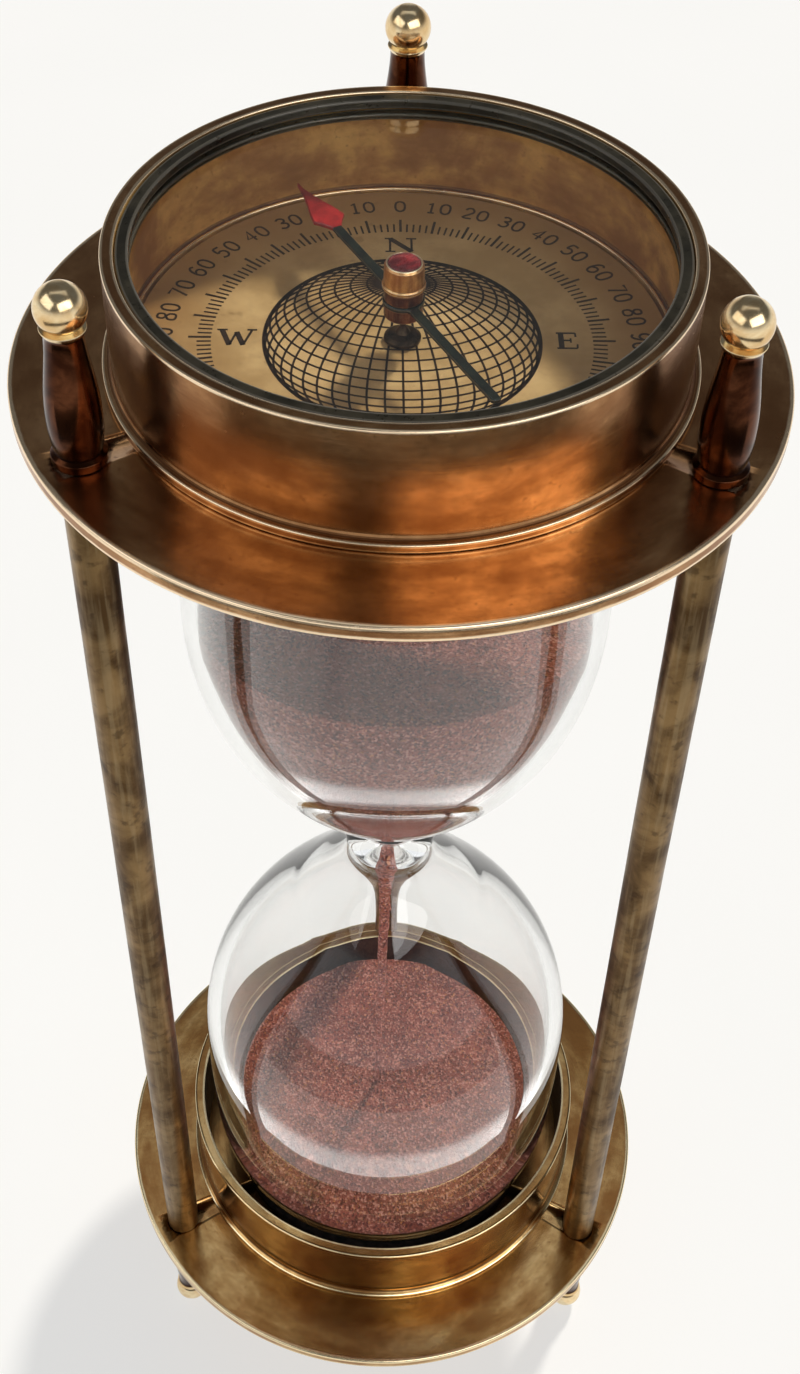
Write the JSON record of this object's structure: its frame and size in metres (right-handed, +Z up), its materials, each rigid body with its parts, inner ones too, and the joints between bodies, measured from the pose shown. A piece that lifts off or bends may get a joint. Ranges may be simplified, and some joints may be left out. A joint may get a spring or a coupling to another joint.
{
  "type": "hourglass",
  "caption": "Brass sand timer: two round plates on rods with ball finials, a twin-bulb glass of sand, and a compass set in the top plate.",
  "frame": {"origin": "on the timer's axis, in the plane that the ball feet stand on", "axes": "+Z up the timer's axis, +Y to the rear rod and the dial's north, +X to the right seen from the front"},
  "size_m": [0.072, 0.072, 0.1772],
  "materials": {
    "aged_brass": "antiqued satin brass, brown patina with bright worn edges",
    "rod_brass": "dull mottled olive-brown brass",
    "polished_brass": "polished turned brass",
    "clear_glass": "clear blown glass",
    "cork": "cork",
    "rose_sand": "fine dusty-rose sand",
    "dial_paper": "printed cream card",
    "dark_ring": "black-olive lacquered ring",
    "pin_steel": "hardened steel pin",
    "needle_paint": "green-black enamel, red arrow head",
    "jewel_red": "dark red jewel"
  },
  "bodies": {
    "frame": {"bottom_plate": "aged_brass", "top_plate": "aged_brass", "lower_collar": "aged_brass", "upper_collar": "aged_brass", "rod_rear": "rod_brass", "rod_left": "rod_brass", "rod_right": "rod_brass", "finial_rear": "polished_brass", "finial_left": "polished_brass", "finial_right": "polished_brass", "foot_rear": "polished_brass", "foot_left": "polished_brass", "foot_right": "polished_brass", "glass_bulb": "clear_glass", "bulb_stopper": "cork", "lower_cushion": "cork", "upper_cushion": "cork", "sand_upper": "rose_sand", "sand_lower": "rose_sand", "sand_stream": "rose_sand", "compass_drum": "aged_brass", "dial_card": "dial_paper", "crystal_seat_ring": "aged_brass", "compass_crystal": "clear_glass", "crystal_retaining_ring": "dark_ring", "pivot_post": "pin_steel"},
    "needle": {"compass_needle": "needle_paint", "needle_cap": "aged_brass", "cap_jewel": "jewel_red"}
  },
  "joints": [
    {"name": "needle_pivot", "type": "hinge", "parent": "frame", "child": "needle", "pos_m": [0, 0, 0.165], "axis": [0, 0, 1], "continuous": true}
  ]
}
